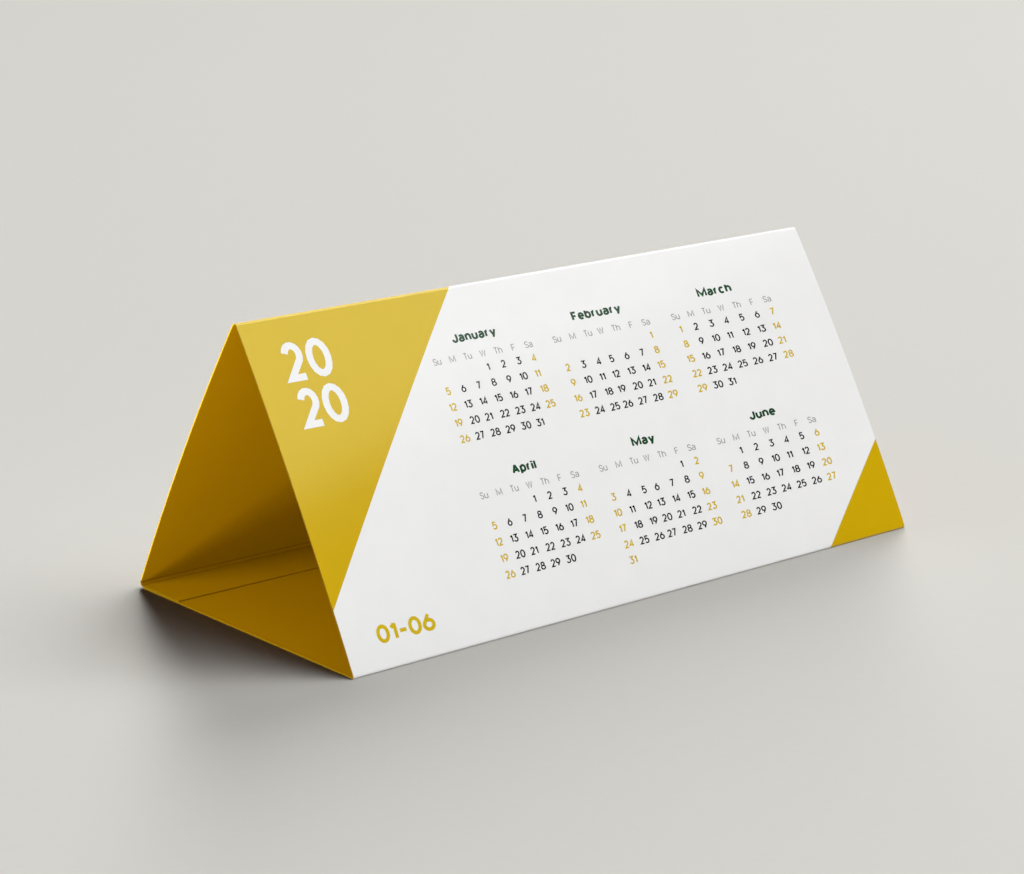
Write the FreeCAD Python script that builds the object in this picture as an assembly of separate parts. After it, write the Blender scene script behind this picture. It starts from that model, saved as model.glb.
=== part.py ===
import FreeCAD, Part
import math
import os

# Free-standing desk calendar: one printed card folded into a triangular tube, open at both ends.
# The card is one strip round the section: base, front panel, ridge, back panel, and a glue flap
# that turns in at the back fold and is glued down on top of the base.
# X runs along the ridge, the front panel faces -Y and Z is up. The origin is on the table,
# under the middle of the folded card. All sizes are in millimetres.

PANEL_LENGTH = 210.0
PANEL_SLOPE = 100.0
BASE_DEPTH = 101.0
CARD_THICKNESS = 0.4
FOLD_INSIDE_RADIUS = 0.85
FRONT_FOLD_INSIDE_RADIUS = 0.2
FRONT_BOW = 1.37
BACK_BOW = 1.54
FLAP_WIDTH = 20.0
BASE_EDGE_SETBACK = 0.25

FOLD_OUTSIDE_RADIUS = FOLD_INSIDE_RADIUS + CARD_THICKNESS
FRONT_FOLD_OUTSIDE_RADIUS = FRONT_FOLD_INSIDE_RADIUS + CARD_THICKNESS


def point(y, z):
    return FreeCAD.Vector(0, y, z)


def bow_circle(low, high, bow, outward_y):
    """Centre and radius of a panel's outer face, which stands out of the flat by the bow."""
    chord = high - low
    radius = chord.Length ** 2 / (8 * bow) + bow / 2
    across = point(chord.z, -chord.y).normalize()
    outward = across if across.y * outward_y > 0 else -across
    return (low + high) / 2 + outward * (bow - radius), radius


def bottom_fold(panel, fold_radius, floor_z, side):
    """Centre of the fold between a flat sheet at floor_z and a bowed panel."""
    centre, radius = panel
    z = floor_z + fold_radius
    reach = radius - fold_radius
    return point(centre.y + side * math.sqrt(reach ** 2 - (z - centre.z) ** 2), z)


def ridge_fold(front, back):
    """Centre of the fold that touches both bowed panels from the inside."""
    front_reach = front[1] - FOLD_OUTSIDE_RADIUS
    back_reach = back[1] - FOLD_OUTSIDE_RADIUS
    between = back[0] - front[0]
    along = (front_reach ** 2 - back_reach ** 2 + between.Length ** 2) / (2 * between.Length)
    level = between / between.Length
    up = point(-level.z, level.y)
    if up.z < 0:
        up = -up
    return front[0] + level * along + up * math.sqrt(front_reach ** 2 - along ** 2)


def arc(centre, start, end):
    """The shorter arc about a centre between two points."""
    middle_way = ((start - centre) + (end - centre)).normalize()
    return Part.Arc(start, centre + middle_way * (start - centre).Length, end).toShape()


def line(start, end):
    return Part.LineSegment(start, end).toShape()


def touch(panel, fold, inset):
    """Where a panel's face, set in by the inset, runs into a fold."""
    centre, radius = panel
    return centre + (fold - centre).normalize() * (radius - inset)


# The three sharp corners that the outer faces would meet in without their bows and folds
front_corner = point(-BASE_DEPTH / 2, 0)
back_corner = point(BASE_DEPTH / 2, 0)
ridge_corner = point(0, math.sqrt(PANEL_SLOPE ** 2 - (BASE_DEPTH / 2) ** 2))

front_panel = bow_circle(front_corner, ridge_corner, FRONT_BOW, -1)
back_panel = bow_circle(back_corner, ridge_corner, BACK_BOW, 1)
front_fold_centre = bottom_fold(front_panel, FRONT_FOLD_OUTSIDE_RADIUS, 0, -1)
back_fold_centre = bottom_fold(back_panel, FOLD_OUTSIDE_RADIUS, CARD_THICKNESS, 1)
ridge_fold_centre = ridge_fold(front_panel, back_panel)

front_y = front_fold_centre.y - FRONT_FOLD_OUTSIDE_RADIUS
back_y = back_fold_centre.y + FOLD_OUTSIDE_RADIUS
base_cut_edge_y = back_fold_centre.y - BASE_EDGE_SETBACK
flap_cut_edge_y = back_corner.y - FLAP_WIDTH


def outline(inset, step_y):
    """Closed outline, set in from the outer face. Its floor steps up one card at step_y."""
    front_foot = point(front_fold_centre.y, inset)
    step_low = point(step_y, inset)
    step_high = point(step_y, inset + CARD_THICKNESS)
    back_foot = point(back_fold_centre.y, inset + CARD_THICKNESS)
    back_low = touch(back_panel, back_fold_centre, inset)
    back_high = touch(back_panel, ridge_fold_centre, inset)
    front_high = touch(front_panel, ridge_fold_centre, inset)
    front_low = touch(front_panel, front_fold_centre, inset)
    return Part.Wire([
        line(front_foot, step_low),
        line(step_low, step_high),
        line(step_high, back_foot),
        arc(back_fold_centre, back_foot, back_low),
        arc(back_panel[0], back_low, back_high),
        arc(ridge_fold_centre, back_high, front_high),
        arc(front_panel[0], front_high, front_low),
        arc(front_fold_centre, front_low, front_foot),
    ])


def folded_card():
    """The whole card as one solid, its flap one with the base where they are glued."""
    outside = Part.Face(outline(0, base_cut_edge_y))
    tunnel = Part.Face(outline(CARD_THICKNESS, flap_cut_edge_y))
    section = outside.cut(tunnel)
    section.translate(FreeCAD.Vector(-PANEL_LENGTH / 2, -(front_y + back_y) / 2, 0))
    return section.Faces[0].extrude(FreeCAD.Vector(PANEL_LENGTH, 0, 0))


os.makedirs("parts", exist_ok=True)
card = folded_card()
print("folded_card valid", card.isValid(), "volume mm3", round(card.Volume, 1), card.BoundBox)
card.exportStep("parts/folded_card.step")
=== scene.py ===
import math

import bmesh
import bpy
from mathutils import Matrix, Vector
from mathutils.geometry import delaunay_2d_cdt


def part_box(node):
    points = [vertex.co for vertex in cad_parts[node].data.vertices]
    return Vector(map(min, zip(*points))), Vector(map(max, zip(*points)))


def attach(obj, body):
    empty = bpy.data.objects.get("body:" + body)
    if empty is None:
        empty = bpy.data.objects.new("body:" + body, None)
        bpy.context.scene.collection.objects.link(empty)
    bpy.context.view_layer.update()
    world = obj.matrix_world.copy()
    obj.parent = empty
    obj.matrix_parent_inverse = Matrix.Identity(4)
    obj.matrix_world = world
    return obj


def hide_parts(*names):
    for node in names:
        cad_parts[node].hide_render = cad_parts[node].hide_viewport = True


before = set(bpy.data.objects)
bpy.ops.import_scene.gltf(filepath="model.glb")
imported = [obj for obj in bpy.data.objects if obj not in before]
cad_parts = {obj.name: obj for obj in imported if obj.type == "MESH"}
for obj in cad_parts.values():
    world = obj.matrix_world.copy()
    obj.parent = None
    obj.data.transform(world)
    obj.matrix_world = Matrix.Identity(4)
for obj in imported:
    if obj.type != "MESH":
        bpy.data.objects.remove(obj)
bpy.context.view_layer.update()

# A desk calendar made of one printed card, folded into a triangular tube. Lengths are in metres.
# X runs along the ridge, the front panel faces -Y and Z is up.

MM = 0.001

# The folded card's section
PANEL_SLOPE = 100.0 * MM
BASE_DEPTH = 101.0 * MM
CARD_THICKNESS = 0.4 * MM
FOLD_INSIDE_RADIUS = 0.85 * MM
FRONT_FOLD_INSIDE_RADIUS = 0.2 * MM
FRONT_BOW = 1.37 * MM
BACK_BOW = 1.54 * MM
FLAP_WIDTH = 20.0 * MM
BASE_EDGE_SETBACK = 0.25 * MM

CARD_LOW, CARD_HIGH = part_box("folded_card")
PANEL_LENGTH = CARD_HIGH.x - CARD_LOW.x
FOLD_OUTSIDE_RADIUS = FOLD_INSIDE_RADIUS + CARD_THICKNESS
FRONT_FOLD_OUTSIDE_RADIUS = FRONT_FOLD_INSIDE_RADIUS + CARD_THICKNESS

# How finely the card's mesh is cut
COLUMNS = 42
FLAT_STEP = 5.0 * MM
BOW_STEP = 2.0 * MM
FOLD_STEP = 0.2 * MM
SMOOTH_UP_TO = math.radians(30)

# Ink stands this far out of the card, and its mesh is sunk this far into it
INK_PROUD = 0.02 * MM
INK_SUNK = 0.01 * MM

# Print is placed by how far it lies from the panel's left end and down from the sharp ridge corner.
# The artwork is stretched a little towards the panel's right end, by this ratio.
STRETCH = 1.178
CREST_BELOW_CORNER = 0.65 * MM
BORDER_BEHIND_CREST = 0.5 * MM

# The coloured fields' slanted edges run at 45 degrees in the artwork
FIELD_REACH = 81.4 * MM
CORNER_EDGE = 71.4 * MM
CORNER_BLEED = 99.9 * MM
FIELD_CELL = 4.0 * MM

# Print further up or down than these lies on a fold and is cut as finely as the fold
RIDGE_FOLD_DOWN = 2.0 * MM
FRONT_FOLD_DOWN = 94.0 * MM

# Each style is a height, the strokes' thickness in heights, and how wide the characters are drawn

# The year, as two rows of bare numerals left open in the upper field
YEAR_LEFT = 11.9 * MM
YEAR_HEIGHT = 11.2 * MM
YEAR_BASELINES = (19.8 * MM, 33.0 * MM)
YEAR_STROKE = 0.22

# The months on the panel, as small numerals at its lower left
RANGE_LEFT = 12.6 * MM
RANGE_BASELINE = 92.9 * MM
RANGE_STYLE = (5.0 * MM, 0.24, 1.2)

# The three columns and two rows of months
BLOCK_LEFTS = (64.8 * MM, 109.6 * MM, 154.4 * MM)
BLOCK_TOPS = (0.0 * MM, 0.08 * MM, 0.18 * MM)
BLOCK_DROP = 39.18 * MM
TITLE_BASELINES = (17.45 * MM, 17.9 * MM)
TITLE_STYLE = (2.8 * MM, 0.275, 0.9)
HEAD_CENTRE = 1.52 * MM
HEAD_BASELINE = 22.75 * MM
HEAD_STYLE = (2.0 * MM, 0.14, 0.76)
DATE_LEFT = -0.2 * MM
DATE_PITCH = 5.73 * MM
DATE_CENTRE = 1.72 * MM
DATE_BASELINE = 27.0 * MM
DATE_ROW = 4.64 * MM
DATE_STYLE = (2.28 * MM, 0.2, 1.0)

# How far the middle block's weekday columns stand off their even places
MIDDLE_NUDGE = tuple(nudge * MM for nudge in (0.27, 0.39, 0.41, -0.49, -0.5, -0.55, -0.69))

WEEKDAYS = ("Su", "M", "Tu", "W", "Th", "F", "Sa")

# Each month's title, the title's centre from the month's left edge in millimetres, and its days
FRONT_MONTHS = (
    ("January", 17.7, 31),
    ("February", 18.8, 29),
    ("March", 18.3, 31),
    ("April", 18.7, 30),
    ("May", 18.9, 31),
    ("June", 19.1, 30),
)
BACK_MONTHS = (
    ("July", 18.6, 31),
    ("August", 18.6, 31),
    ("September", 18.6, 30),
    ("October", 18.6, 31),
    ("November", 18.6, 30),
    ("December", 18.6, 31),
)
FIRST_WEEKDAY = 3
WEEK = len(WEEKDAYS)
WEEKEND = (0, WEEK - 1)


def flat(y, z):
    return Vector((y, z))


def bow_circle(low, high, bow, outward_y):
    """Centre and radius of a panel's outer face, which stands out of the flat by the bow."""
    chord = high - low
    radius = chord.length ** 2 / (8 * bow) + bow / 2
    across = flat(chord.y, -chord.x).normalized()
    outward = across if across.x * outward_y > 0 else -across
    return (low + high) / 2 + outward * (bow - radius), radius


def bottom_fold(panel, fold_radius, floor_z, side):
    """Centre of the fold between a flat sheet at floor_z and a bowed panel."""
    centre, radius = panel
    z = floor_z + fold_radius
    reach = radius - fold_radius
    return flat(centre.x + side * math.sqrt(reach ** 2 - (z - centre.y) ** 2), z)


def ridge_fold(front, back):
    """Centre of the fold that touches both bowed panels from the inside."""
    front_reach = front[1] - FOLD_OUTSIDE_RADIUS
    back_reach = back[1] - FOLD_OUTSIDE_RADIUS
    between = back[0] - front[0]
    along = (front_reach ** 2 - back_reach ** 2 + between.length ** 2) / (2 * between.length)
    level = between.normalized()
    up = flat(-level.y, level.x)
    if up.y < 0:
        up = -up
    return front[0] + level * along + up * math.sqrt(front_reach ** 2 - along ** 2)


FRONT_CORNER = flat(-BASE_DEPTH / 2, 0)
BACK_CORNER = flat(BASE_DEPTH / 2, 0)
RIDGE_CORNER = flat(0, math.sqrt(PANEL_SLOPE ** 2 - (BASE_DEPTH / 2) ** 2))
FRONT_PANEL = bow_circle(FRONT_CORNER, RIDGE_CORNER, FRONT_BOW, -1)
BACK_PANEL = bow_circle(BACK_CORNER, RIDGE_CORNER, BACK_BOW, 1)
FRONT_FOLD = bottom_fold(FRONT_PANEL, FRONT_FOLD_OUTSIDE_RADIUS, 0, -1)
BACK_FOLD = bottom_fold(BACK_PANEL, FOLD_OUTSIDE_RADIUS, CARD_THICKNESS, 1)
RIDGE_FOLD = ridge_fold(FRONT_PANEL, BACK_PANEL)
CENTRING = (FRONT_FOLD_OUTSIDE_RADIUS - FRONT_FOLD.x - BACK_FOLD.x - FOLD_OUTSIDE_RADIUS) / 2

DOWN = -math.pi / 2
UP = DOWN - math.pi
FULL_TURN = 2 * math.pi


def turned(previous, direction):
    """The direction's angle, counted on from the previous one as the section turns clockwise."""
    return previous - (previous - math.atan2(direction.y, direction.x)) % FULL_TURN


def straight(start, end, step):
    length = (end - start).length

    def place(run):
        return start.lerp(end, run / length), DOWN

    return length, place, step


def bend(centre, radius, start_angle, end_angle, step):
    def place(run):
        angle = start_angle - run / radius
        return centre + flat(math.cos(angle), math.sin(angle)) * radius, angle

    return radius * (start_angle - end_angle), place, step


FRONT_LOW = turned(DOWN, FRONT_FOLD - FRONT_PANEL[0])
FRONT_HIGH = turned(FRONT_LOW, RIDGE_FOLD - FRONT_PANEL[0])
BACK_HIGH = turned(FRONT_HIGH, RIDGE_FOLD - BACK_PANEL[0])
BACK_LOW = turned(BACK_HIGH, BACK_FOLD - BACK_PANEL[0])

BASE_CUT_EDGE = flat(BACK_FOLD.x - BASE_EDGE_SETBACK, 0)
FLAP_CUT_EDGE = flat(BACK_CORNER.x - FLAP_WIDTH, CARD_THICKNESS)

# The card's outer face round the section, from the base's cut edge to the glue flap's
SECTION = (
    straight(BASE_CUT_EDGE, flat(FRONT_FOLD.x, 0), FLAT_STEP),
    bend(FRONT_FOLD, FRONT_FOLD_OUTSIDE_RADIUS, DOWN, FRONT_LOW, FOLD_STEP),
    bend(FRONT_PANEL[0], FRONT_PANEL[1], FRONT_LOW, FRONT_HIGH, BOW_STEP),
    bend(RIDGE_FOLD, FOLD_OUTSIDE_RADIUS, FRONT_HIGH, BACK_HIGH, FOLD_STEP),
    bend(BACK_PANEL[0], BACK_PANEL[1], BACK_HIGH, BACK_LOW, BOW_STEP),
    bend(BACK_FOLD, FOLD_OUTSIDE_RADIUS, BACK_LOW, DOWN - FULL_TURN, FOLD_STEP),
    straight(flat(BACK_FOLD.x, CARD_THICKNESS), FLAP_CUT_EDGE, FLAT_STEP),
)
LENGTHS = [length for length, place, step in SECTION]
RIDGE_START, BACK_SLOPE_END, FLAP_START = (sum(LENGTHS[:parts]) for parts in (3, 5, 6))
CREST = RIDGE_START + FOLD_OUTSIDE_RADIUS * (FRONT_HIGH - UP)


def on_section(run, lift):
    """The point at that run along the section, lifted off the outer face, as (y, z)."""
    for length, place, step in SECTION:
        if run <= length:
            break
        run -= length
    spot, angle = place(min(run, length))
    return spot + flat(math.cos(angle), math.sin(angle)) * lift + flat(CENTRING, 0)


def stations():
    """The runs along the section at which the card's mesh has its rows."""
    runs = [0.0]
    start = 0.0
    for length, place, step in SECTION:
        if step > FOLD_STEP:
            runs.append(start + FOLD_STEP)
        count = math.ceil(length / step)
        runs += [start + length * (i + 1) / count for i in range(count - 1)]
        if step > FOLD_STEP:
            runs.append(start + length - FOLD_STEP)
        start += length
        runs.append(start)
    return runs


calendar = bpy.data.collections.new("calendar")
bpy.context.scene.collection.children.link(calendar)


def link(name, mesh):
    """Adds a mesh to the scene as a piece of the calendar."""
    piece = bpy.data.objects.new(name, mesh)
    calendar.objects.link(piece)
    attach(piece, "root")
    return piece


def finish(mesh):
    """Faces turned outwards and shaded smooth, with hard edges where they meet at a corner."""
    shaped = bmesh.new()
    shaped.from_mesh(mesh)
    bmesh.ops.recalc_face_normals(shaped, faces=shaped.faces)
    for face in shaped.faces:
        face.smooth = True
    for edge in shaped.edges:
        edge.smooth = edge.calc_face_angle(math.pi) < SMOOTH_UP_TO
    shaped.to_mesh(mesh)
    shaped.free()


# Materials

WHITE = (1.0, 1.0, 1.0, 1.0)
YELLOW_SHEEN = (0.75, 1.0, 0.44, 1.0)
BOARD_WHITE = (0.83, 0.83, 0.83)
YELLOW = (0.615, 0.385, 0.001)
# A deeper, more orange copy of the yellow ink for the inside of the tube: painted shade for the
# dimmer light in there
INNER_SHADE_YELLOW = (0.6, 0.295, 0.001)
# A darker copy of the yellow ink: painted shade inside the back fold's crease, and a painted shadow
# line along the glue flap's cut edge
CREASE_SHADE_YELLOW = (0.36, 0.165, 0.001)
# A dark yellow for the cut rims at the card's ends, away from the back slope: painted shade on the
# rims
EDGE_SHADE_YELLOW = (0.17, 0.095, 0.001)
BLACK = (0.012, 0.012, 0.014)
GREEN = (0.012, 0.065, 0.022)
GREY = (0.3, 0.3, 0.3)
GOLD = (0.61, 0.43, 0.002)
FLOOR_COLOUR = (0.685, 0.67, 0.63)

# Surfaces: clouds as strength and scale, grain as scale and depth
PRINT_CLOUDS = (0.012, 90.0)
PRINT_GRAIN = (2500.0, 0.001 * MM)
PRINT_ROUGHNESS = 0.14
PRINT_SPECULAR = 0.28
YELLOW_SPECULAR = 0.64
CLOUD_RANGE = (0.3, 0.7)
CLOUD_DETAIL = 3.0
GRAIN_DETAIL = 2.0
GLOSS_SPREAD = 0.1


def shift(colour, factor):
    return tuple(min(1.0, part * factor) for part in colour) + (1.0,)


def noise(tree, scale, detail):
    place = tree.nodes.new("ShaderNodeTexCoord")
    texture = tree.nodes.new("ShaderNodeTexNoise")
    texture.inputs["Scale"].default_value = scale
    texture.inputs["Detail"].default_value = detail
    tree.links.new(place.outputs["Object"], texture.inputs["Vector"])
    return texture.outputs["Fac"]


def grained(name, colour, clouds, grain, roughness, specular, tint=WHITE):
    """A paper or ink with faint cloudy colour, a fine surface grain and uneven gloss.

    The clouds are given as strength and scale, and the grain as scale and depth.
    """
    mottle, mottle_scale = clouds
    grain_scale, grain_depth = grain
    material = bpy.data.materials.new(name)
    material.use_nodes = True
    tree = material.node_tree
    shader = tree.nodes["Principled BSDF"]
    shader.inputs["Specular IOR Level"].default_value = specular
    shader.inputs["Specular Tint"].default_value = tint
    cloud = noise(tree, mottle_scale, CLOUD_DETAIL)
    ramp = tree.nodes.new("ShaderNodeValToRGB")
    for element, position, sign in zip(ramp.color_ramp.elements, CLOUD_RANGE, (-1, 1)):
        element.position = position
        element.color = shift(colour, 1 + sign * mottle)
    tree.links.new(cloud, ramp.inputs["Fac"])
    tree.links.new(ramp.outputs["Color"], shader.inputs["Base Color"])
    pores = noise(tree, grain_scale, GRAIN_DETAIL)
    gloss = tree.nodes.new("ShaderNodeMapRange")
    gloss.inputs["To Min"].default_value = roughness * (1 - GLOSS_SPREAD)
    gloss.inputs["To Max"].default_value = roughness * (1 + GLOSS_SPREAD)
    tree.links.new(pores, gloss.inputs["Value"])
    tree.links.new(gloss.outputs["Result"], shader.inputs["Roughness"])
    bump = tree.nodes.new("ShaderNodeBump")
    bump.inputs["Strength"].default_value = 1.0
    bump.inputs["Distance"].default_value = grain_depth
    tree.links.new(pores, bump.inputs["Height"])
    tree.links.new(bump.outputs["Normal"], shader.inputs["Normal"])
    return material


def printed(name, colour, specular=PRINT_SPECULAR, tint=WHITE):
    return grained(name, colour, PRINT_CLOUDS, PRINT_GRAIN, PRINT_ROUGHNESS, specular, tint)


white_board = printed("white_board", BOARD_WHITE)
yellow_ink = printed("yellow_ink", YELLOW, YELLOW_SPECULAR, YELLOW_SHEEN)
# The inside ink is painted shade: the same yellow made deeper
inner_shade_ink = printed("inner_shade_ink", INNER_SHADE_YELLOW)
# The crease ink is painted shade and painted shadow: the same yellow made darker
crease_shade_ink = printed("crease_shade_ink", CREASE_SHADE_YELLOW)
# The cut edge finish is painted shade: a dark yellow on the rims
cut_edge_shade = grained("cut_edge_shade", EDGE_SHADE_YELLOW, (0.06, 900.0), (6000.0, 0.01 * MM), 0.6, 0.2)
black_ink = printed("black_ink", BLACK)
green_ink = printed("green_ink", GREEN)
grey_ink = printed("grey_ink", GREY)
gold_ink = printed("gold_ink", GOLD)
floor_paint = grained("floor_paint", FLOOR_COLOUR, (0.006, 300.0), (900.0, 0.02 * MM), 0.9, 0.0)

# The sheet's finishes, in the order of where they are. The inside of the back fold and the sheet's
# cut edges inside take the darker crease yellow, which is painted shade in the crease and a painted
# shadow line along the glue flap's edge.
SHEET_FINISHES = (white_board, inner_shade_ink, yellow_ink, cut_edge_shade, crease_shade_ink)
OUTSIDE, INSIDE, BACK_RIM, RIM, CREASE_SHADE = range(len(SHEET_FINISHES))


# The folded card

def folded_card():
    runs = stations()
    rows = len(runs)
    verts = []
    for column in range(COLUMNS + 1):
        x = CARD_LOW.x + PANEL_LENGTH * column / COLUMNS
        for lift in (0.0, -CARD_THICKNESS):
            for run in runs:
                spot = on_section(run, lift)
                verts.append((x, spot.x, spot.y))

    def corner(column, inside, row):
        return (column * 2 + inside) * rows + row

    def within(row, start, end):
        return start < (runs[row] + runs[row + 1]) / 2 < end

    faces = []
    finishes = []
    for column in range(COLUMNS):
        for row in range(rows - 1):
            outer = [corner(column, 0, row), corner(column + 1, 0, row)]
            outer += [corner(column + 1, 0, row + 1), corner(column, 0, row + 1)]
            inner = [corner(column, 1, row), corner(column, 1, row + 1)]
            inner += [corner(column + 1, 1, row + 1), corner(column + 1, 1, row)]
            faces += [outer, inner]
            # Inside faces take the deeper inside yellow, which is painted shade in the tube; those
            # in the back fold take the crease yellow, which is painted shade in the crease
            finishes += [OUTSIDE, CREASE_SHADE if within(row, BACK_SLOPE_END, FLAP_START) else INSIDE]
        # The cut edges at both ends of the section take the crease yellow, a painted shadow line
        # along the glue flap's edge
        for row in (0, rows - 1):
            faces.append([corner(column, 0, row), corner(column, 1, row),
                          corner(column + 1, 1, row), corner(column + 1, 0, row)])
            finishes.append(CREASE_SHADE)
    for column in (0, COLUMNS):
        for row in range(rows - 1):
            faces.append([corner(column, 0, row), corner(column, 0, row + 1),
                          corner(column, 1, row + 1), corner(column, 1, row)])
            # Rims on the back slope take the yellow ink; the others take the dark edge yellow, which
            # is painted shade
            finishes.append(BACK_RIM if within(row, CREST, BACK_SLOPE_END) else RIM)
    mesh = bpy.data.meshes.new("folded_card_sheet")
    mesh.from_pydata(verts, [], faces)
    for material in SHEET_FINISHES:
        mesh.materials.append(material)
    mesh.polygons.foreach_set("material_index", finishes)
    finish(mesh)
    sheet = link("folded_card_sheet", mesh)
    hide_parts("folded_card")


# Letters and numerals, drawn as strokes in a box from (0, 0) to (1, 1)

ARC_STEP = 22.5
LOW = 0.75


def arc(x, y, across, up, start, end):
    """Points on an ellipse about (x, y), between two angles in degrees."""
    count = max(2, math.ceil(abs(end - start) / ARC_STEP))
    angles = [math.radians(start + (end - start) * i / count) for i in range(count + 1)]
    return [(x + across * math.cos(angle), y + up * math.sin(angle)) for angle in angles]


def ring(x, y, across, up):
    return arc(x, y, across, up, 0, 360)


ROUND = ring(0.5, LOW / 2, 0.5, LOW / 2)
SMALL_STEM = [(0, 0), (0, LOW)]
RIGHT_STEM = [(1, LOW), (1, 0)]
ARCH = arc(0.5, LOW - 0.3, 0.5, 0.3, 180, 0) + [(1, 0)]

# Each character's width in heights, then its strokes
GLYPHS = {
    "0": (0.80, [ring(0.5, 0.5, 0.5, 0.5)]),
    "1": (0.42, [[(1, 1), (1, 0)], [(0, 0.74), (1, 0.98)]]),
    "2": (0.70, [arc(0.5, 0.7, 0.48, 0.3, 165, -35) + [(0, 0), (1, 0)]]),
    "3": (0.76, [[(0.04, 1), (0.94, 1), (0.42, 0.62)], arc(0.48, 0.31, 0.52, 0.31, 100, -160)]),
    "4": (0.78, [[(0.74, 0), (0.74, 1), (0, 0.25), (1, 0.25)]]),
    "5": (0.74, [[(0.92, 1), (0.14, 1)] + arc(0.48, 0.32, 0.52, 0.32, 142, -150)]),
    "6": (0.78, [ring(0.5, 0.32, 0.5, 0.32), [(0.08, 0.46), (0.62, 1)]]),
    "7": (0.66, [[(0, 1), (1, 1), (0.3, 0)]]),
    "8": (0.80, [ring(0.5, 0.76, 0.4, 0.24), ring(0.5, 0.27, 0.5, 0.27)]),
    "9": (0.78, [ring(0.5, 0.68, 0.5, 0.32), [(0.92, 0.54), (0.38, 0)]]),
    "-": (0.60, [[(0, 0.42), (1, 0.42)]]),
    "A": (1.10, [[(0, 0), (0.5, 1)], [(0.5, 1), (1, 0)], [(0.2, 0.3), (0.8, 0.3)]]),
    "D": (1.02, [[(0, 0), (0, 1)] + arc(0.45, 0.5, 0.55, 0.5, 90, -90) + [(0, 0)]]),
    "F": (0.85, [[(0, 0), (0, 1), (1, 1)], [(0, 0.5), (0.88, 0.5)]]),
    "J": (0.90, [[(1, 1)] + arc(0.5, 0.34, 0.5, 0.34, 0, -180)]),
    "M": (1.42, [[(0, 0), (0, 1), (0.5, 0.12), (1, 1), (1, 0)]]),
    "N": (1.10, [[(0, 0), (0, 1), (1, 0), (1, 1)]]),
    "O": (1.15, [ring(0.5, 0.5, 0.5, 0.5)]),
    "S": (0.92, [arc(0.5, 0.75, 0.46, 0.25, 15, 270) + arc(0.5, 0.25, 0.5, 0.25, 90, -165)[1:]]),
    "T": (0.95, [[(0, 1), (1, 1)], [(0.5, 1), (0.5, 0)]]),
    "W": (1.45, [[(0, 1), (0.25, 0), (0.5, 0.95), (0.75, 0), (1, 1)]]),
    "a": (0.88, [arc(0.5, LOW - 0.22, 0.46, 0.22, 160, 0) + [(0.96, 0)],
                 [(0.96, 0.42)] + arc(0.36, 0.2, 0.36, 0.2, 90, 270) + [(0.7, 0.02), (0.96, 0.2)]]),
    "b": (0.92, [[(0, 0), (0, 1)], ROUND]),
    "c": (0.90, [arc(0.5, LOW / 2, 0.5, LOW / 2, 45, 315)]),
    "e": (0.92, [[(0, LOW / 2), (1, LOW / 2)] + arc(0.5, LOW / 2, 0.5, LOW / 2, 0, 315)[1:]]),
    "g": (0.92, [ROUND, [(1, LOW), (1, -0.04)] + arc(0.5, -0.04, 0.5, 0.22, 0, -150)[1:]]),
    "h": (0.90, [[(0, 0), (0, 1)], ARCH]),
    "i": (0.20, [[(0.5, 0), (0.5, LOW)], [(0.5, 0.86), (0.5, 1.06)]]),
    "l": (0.20, [[(0.5, 0), (0.5, 1)]]),
    "m": (1.35, [SMALL_STEM, arc(0.25, LOW - 0.24, 0.25, 0.24, 180, 0) + [(0.5, 0)],
                 arc(0.75, LOW - 0.24, 0.25, 0.24, 180, 0) + [(1, 0)]]),
    "n": (0.90, [SMALL_STEM, ARCH]),
    "o": (0.95, [ROUND]),
    "p": (0.92, [[(0, -0.28), (0, LOW)], ROUND]),
    "r": (0.62, [SMALL_STEM, arc(0.7, LOW - 0.36, 0.7, 0.36, 180, 80)]),
    "s": (0.80, [arc(0.5, LOW * 0.74, 0.44, LOW * 0.26, 15, 270)
                 + arc(0.5, LOW * 0.25, 0.5, LOW * 0.25, 90, -165)[1:]]),
    "t": (0.72, [[(-0.35, LOW), (1.35, LOW)],
                 [(0.4, 1), (0.4, 0.2)] + arc(0.8, 0.2, 0.4, 0.2, 180, 270)[1:]]),
    "u": (0.90, [[(0, LOW)] + arc(0.5, 0.3, 0.5, 0.3, 180, 360), RIGHT_STEM]),
    "v": (0.92, [[(0, LOW), (0.5, 0), (1, LOW)]]),
    "y": (0.95, [[(0, LOW), (0.5, 0.02)], [(1, LOW), (0.34, -0.28)]]),
}
GLYPH_GAP = 0.08
MITRE_LIMIT = 2.2
WELD = 1e-5

# Level strokes are thinner than upright ones by this ratio
CONTRAST = 0.82


def triangle(a, b, c):
    """The three points in anticlockwise order."""
    return (a, b, c) if (b - a).cross(c - a) > 0 else (a, c, b)


def ribbon(points, thickness):
    """The triangles that a stroke of that thickness covers along its points."""
    half = thickness / 2
    closed = (points[0] - points[-1]).length < WELD
    if closed:
        points = points[:-1]
    count = len(points)
    sides = []
    for i, spot in enumerate(points):
        before = spot - points[i - 1] if i or closed else points[1] - spot
        after = points[(i + 1) % count] - spot if i + 1 < count or closed else before
        way = (before.normalized() + after.normalized()).normalized()
        slant = max(way.dot(before.normalized()), 1 / MITRE_LIMIT)
        side = flat(-way.y, way.x) * half / slant
        sides.append((spot + side, spot - side))
    pairs = [(i, i + 1) for i in range(count - 1)] + ([(count - 1, 0)] if closed else [])
    covered = [triangle(sides[i][0], sides[i][1], sides[k][0]) for i, k in pairs]
    return covered + [triangle(sides[i][1], sides[k][1], sides[k][0]) for i, k in pairs]


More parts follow.
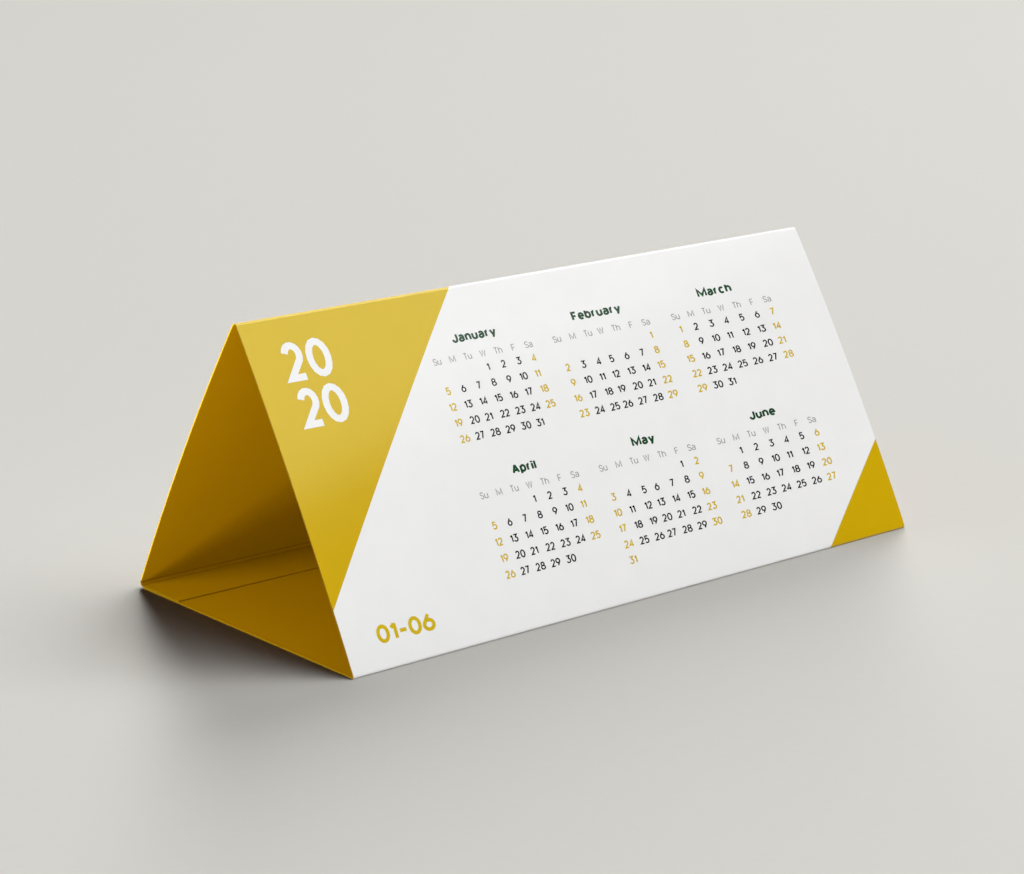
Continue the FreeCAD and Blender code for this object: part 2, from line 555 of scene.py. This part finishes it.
def glyph_cover(char, thickness, wide):
    """The triangles that one character covers, in heights, from its left edge and baseline."""
    width, strokes = GLYPHS[char]
    inner = max(width * wide - thickness, 0)
    flatter = thickness * CONTRAST
    cover = []
    for stroke in strokes:
        spots = [flat(thickness / 2 + x * inner, (flatter / 2 + y * (1 - flatter)) / CONTRAST)
                 for x, y in stroke]
        for corners in ribbon(spots, thickness):
            cover.append([flat(spot.x, spot.y * CONTRAST) for spot in corners])
    return cover


def cut(faces, edges, keep):
    """Cuts overlapping polygons into triangles, which keep() picks by the polygons they are in."""
    spots = []
    indexed = []
    for face in faces:
        indexed.append(list(range(len(spots), len(spots) + len(face))))
        spots += face
    lines = []
    for start, end in edges:
        lines.append((len(spots), len(spots) + 1))
        spots += [start, end]
    points, _, triangles, _, _, sources = delaunay_2d_cdt(spots, lines, indexed, 0, WELD, True)
    kept = [triangle for triangle, source in zip(triangles, sources) if keep(set(source))]
    return points, kept


def in_any(source):
    return len(source) > 0


glyph_store = {}


def glyph(char, thickness, wide):
    """The points and triangles of one character, worked out once for each style."""
    key = (char, thickness, wide)
    if key not in glyph_store:
        glyph_store[key] = cut(glyph_cover(*key), [], in_any)
    return glyph_store[key]


def advance(char, thickness, wide):
    return max(GLYPHS[char][0] * wide, thickness) + GLYPH_GAP


def text_width(text, style):
    height, thickness, wide = style
    return (sum(advance(char, thickness, wide) for char in text) - GLYPH_GAP) * height


def lettering(text, left, baseline, style):
    """The text's shapes on the artwork, each as points (along, down) and triangles."""
    height, thickness, wide = style
    shapes = []
    for char in text:
        points, triangles = glyph(char, thickness, wide)
        placed = [flat(left + p.x * height, baseline - p.y * height) for p in points]
        shapes.append((placed, triangles))
        left += advance(char, thickness, wide) * height
    return shapes


def centred(text, centre, baseline, style):
    return lettering(text, centre - text_width(text, style) / 2, baseline, style)


# From the artwork to the card

FRONT = -1
BACK = 1


def across(along):
    """How far a place on the artwork lies from the panel's left end."""
    share = along / PANEL_LENGTH
    return PANEL_LENGTH * share / (STRETCH - (STRETCH - 1) * share)


def on_card(side, spot, lift):
    """The artwork's place (along, down) as a point on the front or back panel."""
    down = spot.y - CREST_BELOW_CORNER
    section = on_section(CREST + side * down, lift)
    x = side * (PANEL_LENGTH / 2 - across(spot.x))
    return (x, section.x, section.y)


def ink(name, side, shapes, material):
    """One piece of print: closed slabs of ink that follow the card."""
    verts = []
    faces = []
    for points, triangles in shapes:
        used = sorted({i for triangle in triangles for i in triangle})
        top = {i: len(verts) + n for n, i in enumerate(used)}
        bottom = {i: len(verts) + len(used) + n for n, i in enumerate(used)}
        verts += [on_card(side, points[i], INK_PROUD) for i in used]
        verts += [on_card(side, points[i], -INK_SUNK) for i in used]
        edges = set()
        for triangle in triangles:
            faces.append([top[i] for i in triangle])
            faces.append([bottom[i] for i in reversed(triangle)])
            edges |= {(a, b) for a, b in zip(triangle, triangle[1:] + triangle[:1])}
        for a, b in sorted(edges):
            if (b, a) not in edges:
                faces.append([top[b], top[a], bottom[a], bottom[b]])
    mesh = bpy.data.meshes.new(name)
    mesh.from_pydata(verts, [], faces)
    mesh.materials.append(material)
    finish(mesh)
    return link(name, mesh)


def field(outline, openings):
    """A coloured field in small cells, smaller still on the folds, with the openings left bare."""
    left, right = min(p.x for p in outline), max(p.x for p in outline)
    top, bottom = min(p.y for p in outline), max(p.y for p in outline)
    columns = math.ceil((right - left) / FIELD_CELL)
    places = [left + (right - left) * i / columns for i in range(1, columns)]
    edges = [(flat(along, top), flat(along, bottom)) for along in places]
    down = top
    while down < bottom:
        on_fold = down < RIDGE_FOLD_DOWN or down > FRONT_FOLD_DOWN
        down += FOLD_STEP if on_fold else FIELD_CELL
        edges.append((flat(left, down), flat(right, down)))

    def in_field(source):
        return source == {0}

    return [cut([outline] + openings, edges, in_field)]


def year_cover():
    cover = []
    for baseline in YEAR_BASELINES:
        left = YEAR_LEFT
        for char in "20":
            for corners in glyph_cover(char, YEAR_STROKE, 1.0):
                spots = [flat(left + spot.x * YEAR_HEIGHT, baseline - spot.y * YEAR_HEIGHT)
                         for spot in corners]
                cover.append(triangle(*spots))
            left += advance(char, YEAR_STROKE, 1.0) * YEAR_HEIGHT
    return cover


def upper_field(side):
    border = CREST_BELOW_CORNER + side * BORDER_BEHIND_CREST
    outline = [
        flat(0, border),
        flat(FIELD_REACH - border, border),
        flat(0, FIELD_REACH),
    ]
    return field(outline, year_cover())


def lower_corner():
    outline = [
        flat(PANEL_LENGTH, CORNER_EDGE),
        flat(PANEL_LENGTH, CORNER_BLEED),
        flat(PANEL_LENGTH - (CORNER_BLEED - CORNER_EDGE), CORNER_BLEED),
    ]
    return field(outline, [])


def month(days, first, left, top, nudges):
    """One month's shapes, by ink: its weekday heads, weekday dates and weekend dates."""
    shapes = {"heads": [], "dates": [], "weekends": []}
    starts = [left + DATE_LEFT + column * DATE_PITCH + nudges[column] for column in range(WEEK)]
    for start, head in zip(starts, WEEKDAYS):
        shapes["heads"] += centred(head, start + HEAD_CENTRE, top + HEAD_BASELINE, HEAD_STYLE)
    for day in range(1, days + 1):
        row, column = divmod(first + day - 1, WEEK)
        baseline = top + DATE_BASELINE + row * DATE_ROW
        if day < 10:
            spots = centred(str(day), starts[column] + DATE_CENTRE, baseline, DATE_STYLE)
        else:
            spots = lettering(str(day), starts[column], baseline, DATE_STYLE)
        shapes["weekends" if column in WEEKEND else "dates"] += spots
    return shapes


def printed_side(side, name, months, first, span):
    """All the print on one panel. Returns the weekday on which the next month starts."""
    ink("yellow_field_" + name, side, upper_field(side), yellow_ink)
    ink("yellow_corner_" + name, side, lower_corner(), yellow_ink)
    spots = lettering(span, RANGE_LEFT, RANGE_BASELINE, RANGE_STYLE)
    ink("month_range_" + name, side, spots, gold_ink)
    titles = []
    gathered = {"heads": [], "dates": [], "weekends": []}
    for i, (title, centre, days) in enumerate(months):
        row, column = divmod(i, len(BLOCK_LEFTS))
        left = BLOCK_LEFTS[column]
        top = BLOCK_TOPS[column] + row * BLOCK_DROP
        titles += centred(title, left + centre * MM, top + TITLE_BASELINES[row], TITLE_STYLE)
        nudges = MIDDLE_NUDGE if column == 1 else (0,) * WEEK
        shapes = month(days, first, left, top, nudges)
        for key in gathered:
            gathered[key] += shapes[key]
        first = (first + days) % WEEK
    ink("month_titles_" + name, side, titles, green_ink)
    ink("weekday_heads_" + name, side, gathered["heads"], grey_ink)
    ink("weekday_dates_" + name, side, gathered["dates"], black_ink)
    ink("weekend_dates_" + name, side, gathered["weekends"], gold_ink)
    return first


# Floor, camera and light

FLOOR_SIDE = 12.0
FLOOR_CELLS = 8

# The point that the camera and the lamps are turned to
TARGET = Vector((-2.121 * MM, 8.080 * MM + CENTRING, 35.0 * MM))

# The camera's azimuth, elevation, distance and roll, then its lens in millimetres
CAMERA_PLACING = (-40.3706, 15.0941, 836.006 * MM, 0.1444)
LENS = 100.58
SENSOR = 36.0
NEAREST_SEEN = 10.0 * MM

# How bright the surroundings look to the camera, and how bright they are as a light
BACKDROP = 0.62
AMBIENT = 0.02


def looking_at(target, azimuth, elevation, distance, roll=0.0):
    """A camera's or lamp's place and turn. Azimuth 0 is on the front panel's side, 90 is +X."""
    azimuth, elevation, roll = (math.radians(angle) for angle in (azimuth, elevation, roll))
    level = math.cos(elevation)
    back = Vector((math.sin(azimuth) * level, -math.cos(azimuth) * level, math.sin(elevation)))
    right = (-back).cross(Vector((0, 0, 1))).normalized()
    up = right.cross(-back)
    turned_right = right * math.cos(roll) + up * math.sin(roll)
    turned_up = up * math.cos(roll) - right * math.sin(roll)
    turn = Matrix((turned_right, turned_up, back)).transposed().to_4x4()
    return Matrix.Translation(target + back * distance) @ turn


def floor():
    half = FLOOR_SIDE / 2
    step = FLOOR_SIDE / FLOOR_CELLS
    wide = FLOOR_CELLS + 1
    verts = [(i * step - half, k * step - half, 0) for k in range(wide) for i in range(wide)]
    faces = [(k * wide + i, k * wide + i + 1, (k + 1) * wide + i + 1, (k + 1) * wide + i)
             for k in range(FLOOR_CELLS) for i in range(FLOOR_CELLS)]
    mesh = bpy.data.meshes.new("floor")
    mesh.from_pydata(verts, [], faces)
    mesh.materials.append(floor_paint)
    ground = bpy.data.objects.new("floor", mesh)
    bpy.context.scene.collection.objects.link(ground)


def camera():
    lens = bpy.data.cameras.new("camera")
    lens.sensor_fit = "HORIZONTAL"
    lens.sensor_width = SENSOR
    lens.lens = LENS
    lens.clip_start = NEAREST_SEEN
    viewer = bpy.data.objects.new("camera", lens)
    viewer.matrix_world = looking_at(TARGET, *CAMERA_PLACING)
    bpy.context.scene.collection.objects.link(viewer)
    bpy.context.scene.camera = viewer


def softbox(name, azimuth, elevation, distance, width, height, radiance, mirrored=True):
    """A rectangular lamp turned to the calendar, with highlights on the card if it is mirrored.

    Its power follows from how bright it looks.
    """
    lamp = bpy.data.lights.new(name, "AREA")
    lamp.shape = "RECTANGLE"
    lamp.size = width
    lamp.size_y = height
    lamp.energy = radiance * math.pi * width * height
    holder = bpy.data.objects.new(name, lamp)
    holder.matrix_world = looking_at(TARGET, azimuth, elevation, distance)
    holder.visible_camera = False
    holder.visible_glossy = mirrored
    bpy.context.scene.collection.objects.link(holder)
    return holder


def fill(name, *placing):
    """A softbox that lights the calendar alone, directly and without highlights."""
    holder = softbox(name, *placing, mirrored=False)
    holder.light_linking.receiver_collection = calendar
    holder.light_linking.blocker_collection = calendar
    holder.data.cycles.max_bounces = 0


def surroundings():
    """Faint even light, and a pale backdrop that only the camera sees."""
    world = bpy.data.worlds.new("studio")
    bpy.context.scene.world = world
    world.use_nodes = True
    tree = world.node_tree
    background = tree.nodes["Background"]
    background.inputs["Color"].default_value = (1, 1, 1, 1)
    path = tree.nodes.new("ShaderNodeLightPath")
    strength = tree.nodes.new("ShaderNodeMapRange")
    strength.inputs["To Min"].default_value = AMBIENT
    strength.inputs["To Max"].default_value = BACKDROP
    tree.links.new(path.outputs["Is Camera Ray"], strength.inputs["Value"])
    tree.links.new(strength.outputs["Result"], background.inputs["Strength"])


folded_card()
following = printed_side(FRONT, "front", FRONT_MONTHS, FIRST_WEEKDAY, "01-06")
printed_side(BACK, "back", BACK_MONTHS, following, "07-12")
floor()
camera()

# Lamps: azimuth and elevation in degrees, then distance, width and height, and brightness
softbox("front_right_softbox", 49, 54, 4, 3.6, 3.0, 2.4)
softbox("back_right_strip", 141, 31, 30, 5.8, 20, 21, mirrored=False)
softbox("right_softbox", 95, 60, 9, 4.4, 4.4, 3.7)
softbox("ridge_reflection", 135, 27, 9, 5, 6, 2.2).visible_diffuse = False
fill("front_fill", 30, 35, 9, 5, 5, 2.4)
fill("left_fill", -85, 22, 9, 7, 5, 2.8)
fill("left_low_fill", -66, 7, 9, 6, 1.4, 11.3)
fill("left_under_fill", -85, -25, 9, 3, 3, 17.5)
fill("opening_lamp", -92, 15, 0.25, 0.1, 0.1, 2.3)
fill("opening_low_lamp", -88, 5, 0.25, 0.1, 0.05, 10)

surroundings()
bpy.context.scene.view_settings.view_transform = "Standard"
